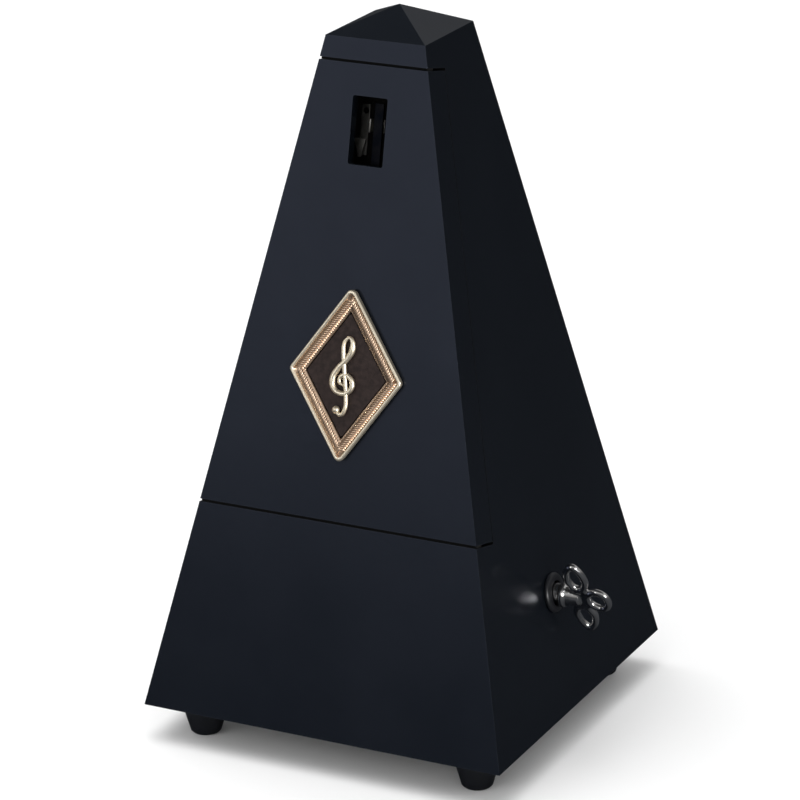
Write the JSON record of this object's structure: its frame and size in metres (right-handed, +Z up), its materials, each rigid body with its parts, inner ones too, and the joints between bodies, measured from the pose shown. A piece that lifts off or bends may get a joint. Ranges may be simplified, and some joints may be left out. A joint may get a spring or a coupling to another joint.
{
  "type": "metronome",
  "caption": "Wind-up pyramid metronome: black lacquered case on feet, tipping front cover with window and badge, wing key, pendulum with sliding weight, and geared movement.",
  "frame": {"origin": "on the table, under the middle of the outline seen from above; the case's axis is 5.75 mm to -X of it because the key sticks out at +X", "axes": "+Z up, +X to the right of someone facing the front, the front faces -Y"},
  "size_m": [0.1296, 0.118, 0.2204],
  "materials": {
    "lacquer": "black polished lacquer over wood",
    "plain_wood": "black-stained wood",
    "black_plastic": "glossy black",
    "gilt": "pinkish gilt, satin",
    "badge_field": "dark brown enamel",
    "scale_paint": "matt cream paint",
    "steel": "brushed",
    "brass": "satin",
    "nickel": "bright nickel plate",
    "cast_metal": "grey cast"
  },
  "bodies": {
    "case": {"side_panel_left": "lacquer", "side_panel_right": "lacquer", "back_panel": "lacquer", "lower_front_panel": "lacquer", "top_cap": "lacquer", "base_board": "plain_wood", "foot_front_left": "black_plastic", "foot_front_right": "black_plastic", "foot_back_left": "black_plastic", "foot_back_right": "black_plastic", "foot_screw_front_left": "steel", "foot_screw_front_right": "steel", "foot_screw_back_left": "steel", "foot_screw_back_right": "steel", "scale_board": "plain_wood", "scale_plate": "scale_paint", "rod_clip": "brass", "movement_plate_left": "brass", "movement_plate_right": "brass", "pillar_1": "steel", "pillar_2": "steel", "pillar_3": "steel", "plate_screw_1": "steel", "plate_screw_2": "steel", "plate_screw_3": "steel", "front_bridge": "brass", "rear_cock": "brass", "key_escutcheon": "black_plastic", "click_screw": "steel", "click_spring": "steel"},
    "cover": {"front_cover": "lacquer", "cover_tabs": "steel", "catch_peg": "steel", "badge_frame": "gilt", "badge_field": "badge_field", "badge_clef": "gilt"},
    "pendulum": {"pendulum_rod": "steel", "pendulum_bob": "cast_metal", "rod_hub": "brass", "pendulum_arbor": "steel", "pallet_front": "steel", "pallet_rear": "steel"},
    "sliding_weight": {"sliding_weight": "nickel", "weight_spring": "steel"},
    "barrel": {"mainspring_barrel": "brass", "barrel_lid": "brass", "mainspring": "steel", "great_wheel": "brass"},
    "middle_wheel": {"middle_arbor": "steel", "middle_pinion": "steel", "middle_wheel": "brass"},
    "escape_wheel": {"escape_arbor": "steel", "escape_pinion": "steel", "escape_wheel": "brass"},
    "winding": {"winding_arbor": "steel", "ratchet_wheel": "steel", "winding_key": "nickel"},
    "click": {"click": "steel"}
  },
  "joints": [
    {"name": "cover_tilt", "type": "hinge", "parent": "case", "child": "cover", "pos_m": [-0.00575, -0.04544, 0.0751], "axis": [1, 0, 0], "range_deg": [0, 75]},
    {"name": "pendulum_swing", "type": "hinge", "parent": "case", "child": "pendulum", "pos_m": [-0.00575, -0.0409, 0.06285], "axis": [0, -0.978, 0.2085], "range_deg": [-6, 6]},
    {"name": "weight_slide", "type": "slide", "parent": "pendulum", "child": "sliding_weight", "axis": [0, 0.2085, 0.978], "range_m": [-0.054, 0.028]},
    {"name": "key_wind", "type": "hinge", "parent": "case", "child": "winding", "pos_m": [-0.00575, -0.005, 0.047], "axis": [1, 0, 0], "continuous": true},
    {"name": "barrel_spin", "type": "hinge", "parent": "case", "child": "barrel", "pos_m": [-0.00575, -0.005, 0.047], "axis": [1, 0, 0], "continuous": true},
    {"name": "middle_spin", "type": "hinge", "parent": "case", "child": "middle_wheel", "pos_m": [-0.00575, -0.02168, 0.03633], "axis": [1, 0, 0], "continuous": true},
    {"name": "escape_spin", "type": "hinge", "parent": "case", "child": "escape_wheel", "pos_m": [-0.00575, -0.02862, 0.04848], "axis": [1, 0, 0], "continuous": true},
    {"name": "click_lift", "type": "hinge", "parent": "case", "child": "click", "pos_m": [-0.00575, 0.009, 0.053], "axis": [-1, 0, 0], "range_deg": [0, 12], "stiffness_Nm_per_rad": 0.002, "deforming": ["click_spring"]}
  ],
  "couplings": [
    {"joint": "middle_spin", "follows": "barrel_spin", "ratio": -8},
    {"joint": "escape_spin", "follows": "barrel_spin", "ratio": 48}
  ]
}
